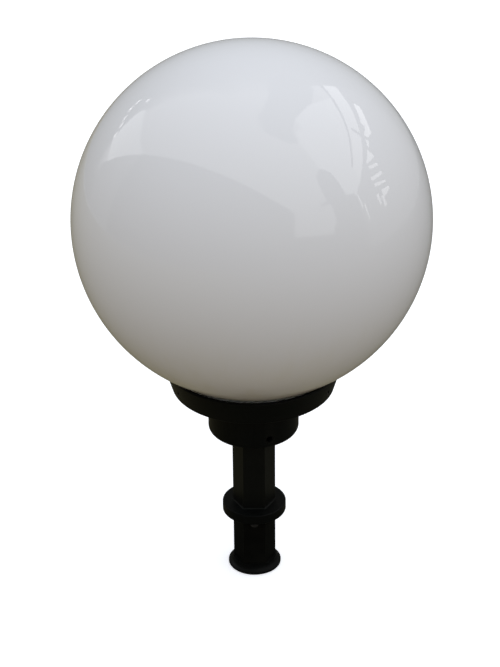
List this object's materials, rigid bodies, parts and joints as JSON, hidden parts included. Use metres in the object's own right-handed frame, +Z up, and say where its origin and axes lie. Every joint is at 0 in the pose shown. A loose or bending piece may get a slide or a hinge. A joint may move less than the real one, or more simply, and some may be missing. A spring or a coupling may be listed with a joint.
{
  "type": "garden globe light",
  "caption": "Opal globe on a stepped black fitter with a hexagonal stem, collar and flared shoe that slip over a pole.",
  "frame": {"origin": "centre of the shoe's flat underside, on the axis of the bore for the pole", "axes": "+Z up along the stem, -Y towards the front, where the clamp screw is"},
  "size_m": [0.2999, 0.3, 0.4938],
  "materials": {
    "black_plastic": "satin moulded, near black",
    "opal": "glossy opal white",
    "steel": "plated",
    "black_steel": "blackened screws",
    "brass": "bright",
    "seal": "matt",
    "white_plastic": "moulded, off-white",
    "block_plastic": "moulded, pale",
    "bulb_white": "satin white",
    "bulb_cap_metal": "bright, rolled",
    "brown_sleeve": "wire insulation",
    "blue_sleeve": "wire insulation"
  },
  "bodies": {
    "fitter": {"pole_shoe": "black_plastic", "pole_set_screws": "black_steel", "lower_tube": "black_plastic", "stem_collar": "black_plastic", "clamp_screw": "black_steel", "upper_tube": "black_plastic", "tie_tube": "steel", "tie_washer": "steel", "tie_nut": "steel", "cable_bush": "seal", "pole_cap": "black_plastic", "cap_gasket": "seal", "gallery": "black_plastic", "gallery_screws": "steel", "neck_gasket": "seal", "terminal_block": "block_plastic", "terminal_tubes": "brass", "terminal_screws": "steel", "block_screw": "steel", "holder_bracket": "steel", "bracket_screws": "steel", "holder_screws": "steel", "holder_body": "white_plastic", "holder_sleeve": "brass", "holder_contact": "brass", "contact_screw": "steel", "live_lead": "brown_sleeve", "neutral_lead": "blue_sleeve"},
    "globe": {"globe_shade": "opal"},
    "neck_screw_1": {"neck_screw_1": "black_steel"},
    "neck_screw_2": {"neck_screw_2": "black_steel"},
    "neck_screw_3": {"neck_screw_3": "black_steel"},
    "bulb_contact": {"bulb_tip": "brass", "bulb_insulator": "black_plastic"},
    "bulb": {"bulb_cap": "bulb_cap_metal", "bulb_housing": "bulb_white", "bulb_board": "steel", "bulb_dome": "bulb_white"}
  },
  "joints": [
    {"name": "globe_lift", "type": "slide", "parent": "fitter", "child": "globe", "axis": [0, 0, 1], "range_m": [0, 0.16]},
    {"name": "neck_screw_1_out", "type": "slide", "parent": "fitter", "child": "neck_screw_1", "axis": [0, 1, 0], "range_m": [0, 0.0055]},
    {"name": "neck_screw_2_out", "type": "slide", "parent": "fitter", "child": "neck_screw_2", "axis": [-0.866, -0.5, 0], "range_m": [0, 0.0055]},
    {"name": "neck_screw_3_out", "type": "slide", "parent": "fitter", "child": "neck_screw_3", "axis": [0.866, -0.5, 0], "range_m": [0, 0.0055]},
    {"name": "bulb_travel", "type": "slide", "parent": "fitter", "child": "bulb_contact", "axis": [0, 0, 1], "range_m": [0, 0.0182]},
    {"name": "bulb_unscrew", "type": "hinge", "parent": "bulb_contact", "child": "bulb", "pos_m": [0, 0, 0.223], "axis": [0, 0, 1], "range_deg": [0, 1800]}
  ],
  "couplings": [
    {"joint": "bulb_travel", "follows": "bulb_unscrew", "m_per_rad": 0.00057773}
  ]
}
